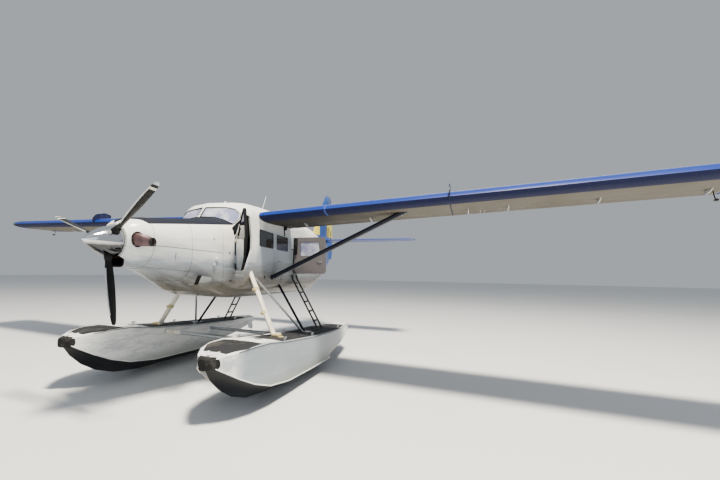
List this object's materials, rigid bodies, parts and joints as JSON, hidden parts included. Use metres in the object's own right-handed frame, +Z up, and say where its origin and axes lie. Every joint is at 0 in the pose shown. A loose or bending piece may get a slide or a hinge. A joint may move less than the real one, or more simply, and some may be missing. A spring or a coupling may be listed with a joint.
{
  "type": "single-engine utility floatplane",
  "caption": "High-wing single-engine floatplane with braced wings, feathered propeller, hinged doors, flaps, ailerons, tail surfaces and water rudders, standing on its two floats.",
  "frame": {"origin": "middle of the bounding box footprint, on the floor under the float keels", "axes": "+X to the aircraft's left (port) side along the span, +Y from the nose to the tail, +Z up"},
  "size_m": [17.69, 13.25, 5.33],
  "materials": {
    "white_paint": "glossy white paint over riveted sheet metal",
    "blue_paint": "glossy royal blue paint",
    "navy_paint": "glossy dark navy paint",
    "yellow_paint": "glossy yellow paint with blue bands",
    "float_metal": "worn light grey paint over riveted aluminium, dark bottoms",
    "bare_metal": "dull bare aluminium tube",
    "propeller_black": "satin black with a pale band and grey tips",
    "polished_spinner": "mirror polished",
    "exhaust_metal": "heat-tinted copper brown steel",
    "engine_metal": "plain dark grey",
    "intake_rubber": "dark dull lip",
    "bumper_rubber": "matt black",
    "dark_panel": "matt black",
    "floor": "worn grey floor boards",
    "seat_fabric": "blue-grey upholstery",
    "tinted_glass": "lightly tinted clear sheet"
  },
  "bodies": {
    "airframe": {"fuselage": "white_paint", "tail_cone": "blue_paint", "cabin_floor": "floor", "instrument_panel": "dark_panel", "cowling": "white_paint", "engine": "engine_metal", "chin_intake": "intake_rubber", "oil_cooler_scoop": "white_paint", "stabilizer": "blue_paint", "fin": "yellow_paint", "front_spreader_bar": "bare_metal", "rear_spreader_bar": "bare_metal", "wing_port": "white_paint", "lift_strut_port": "navy_paint", "exhaust_port": "exhaust_metal", "windscreen_port": "tinted_glass", "window_front_port": "tinted_glass", "window_rear_port": "tinted_glass", "float_port": "float_metal", "bow_bumper_port": "bumper_rubber", "front_float_strut_port": "white_paint", "rear_float_struts_port": "bare_metal", "ladder_port": "bare_metal", "pilot_seat_port": "seat_fabric", "passenger_seats_port": "seat_fabric", "wing_starboard": "white_paint", "lift_strut_starboard": "navy_paint", "exhaust_starboard": "exhaust_metal", "windscreen_starboard": "tinted_glass", "window_front_starboard": "tinted_glass", "window_rear_starboard": "tinted_glass", "float_starboard": "float_metal", "bow_bumper_starboard": "bumper_rubber", "front_float_strut_starboard": "white_paint", "rear_float_struts_starboard": "bare_metal", "ladder_starboard": "bare_metal", "pilot_seat_starboard": "seat_fabric", "passenger_seats_starboard": "seat_fabric"},
    "propeller": {"propeller": "propeller_black", "spinner": "polished_spinner"},
    "pilot_door_port": {"pilot_door_port": "white_paint", "pilot_door_glass_port": "tinted_glass"},
    "pilot_door_starboard": {"pilot_door_starboard": "white_paint", "pilot_door_glass_starboard": "tinted_glass"},
    "cabin_door_front": {"cabin_door_front_leaf": "white_paint", "cabin_door_front_glass": "tinted_glass"},
    "cabin_door_rear": {"cabin_door_rear_leaf": "white_paint", "cabin_door_rear_glass": "tinted_glass"},
    "cabin_door_starboard": {"cabin_door_starboard": "white_paint", "cabin_door_glass_starboard": "tinted_glass"},
    "flap_port": {"flap_port": "white_paint"},
    "flap_starboard": {"flap_starboard": "white_paint"},
    "aileron_port": {"aileron_port": "white_paint"},
    "aileron_starboard": {"aileron_starboard": "white_paint"},
    "elevator": {"elevator": "blue_paint"},
    "rudder": {"rudder": "yellow_paint"},
    "water_rudder_port": {"water_rudder_port": "bare_metal"},
    "water_rudder_starboard": {"water_rudder_starboard": "bare_metal"}
  },
  "joints": [
    {"name": "propeller_spin", "type": "hinge", "parent": "airframe", "child": "propeller", "pos_m": [0, -6.125, 2.663], "axis": [0, 1, 0], "continuous": true},
    {"name": "pilot_door_port_swing", "type": "hinge", "parent": "airframe", "child": "pilot_door_port", "pos_m": [0.808, -3.365, 2.6], "axis": [0, 0, 1], "range_deg": [0, 138]},
    {"name": "pilot_door_starboard_swing", "type": "hinge", "parent": "airframe", "child": "pilot_door_starboard", "pos_m": [-0.808, -3.365, 2.6], "axis": [0, 0, 1], "range_deg": [0, 138]},
    {"name": "cabin_door_front_swing", "type": "hinge", "parent": "airframe", "child": "cabin_door_front", "pos_m": [0.807, -0.005, 2.6], "axis": [0, 0, 1], "range_deg": [0, 85]},
    {"name": "cabin_door_rear_swing", "type": "hinge", "parent": "airframe", "child": "cabin_door_rear", "pos_m": [0.779, 1.185, 2.6], "axis": [0, 0, 1], "range_deg": [0, 100]},
    {"name": "cabin_door_starboard_swing", "type": "hinge", "parent": "airframe", "child": "cabin_door_starboard", "pos_m": [-0.802, 0.195, 2.6], "axis": [0, 0, 1], "range_deg": [0, 100]},
    {"name": "flap_port_hinge", "type": "hinge", "parent": "airframe", "child": "flap_port", "pos_m": [0.96, -0.7698, 3.4555], "axis": [0.9994, 0, 0.0349], "range_deg": [-40, 0]},
    {"name": "flap_starboard_hinge", "type": "hinge", "parent": "airframe", "child": "flap_starboard", "pos_m": [-0.96, -0.7698, 3.4555], "axis": [0.9994, 0, -0.0349], "range_deg": [-40, 0]},
    {"name": "aileron_port_hinge", "type": "hinge", "parent": "airframe", "child": "aileron_port", "pos_m": [5.14, -0.7698, 3.6015], "axis": [0.9994, 0, 0.0349], "range_deg": [-20, 20]},
    {"name": "aileron_starboard_hinge", "type": "hinge", "parent": "airframe", "child": "aileron_starboard", "pos_m": [-5.14, -0.7698, 3.6015], "axis": [0.9994, 0, -0.0349], "range_deg": [-20, 20]},
    {"name": "elevator_hinge", "type": "hinge", "parent": "airframe", "child": "elevator", "pos_m": [0, 5.565, 3.43], "axis": [1, 0, 0], "range_deg": [-15, 25]},
    {"name": "rudder_hinge", "type": "hinge", "parent": "airframe", "child": "rudder", "pos_m": [0, 5.975, 3.9], "axis": [0, 0, 1], "range_deg": [-25, 25]},
    {"name": "water_rudder_port_hinge", "type": "hinge", "parent": "airframe", "child": "water_rudder_port", "pos_m": [1.545, 1.98, 0.55], "axis": [0, 0, 1], "range_deg": [-30, 30]},
    {"name": "water_rudder_starboard_hinge", "type": "hinge", "parent": "airframe", "child": "water_rudder_starboard", "pos_m": [-1.545, 1.98, 0.55], "axis": [0, 0, 1], "range_deg": [-30, 30]}
  ],
  "couplings": [
    {"joint": "flap_starboard_hinge", "follows": "flap_port_hinge", "ratio": 1},
    {"joint": "aileron_starboard_hinge", "follows": "aileron_port_hinge", "ratio": -1},
    {"joint": "water_rudder_starboard_hinge", "follows": "water_rudder_port_hinge", "ratio": 1}
  ]
}
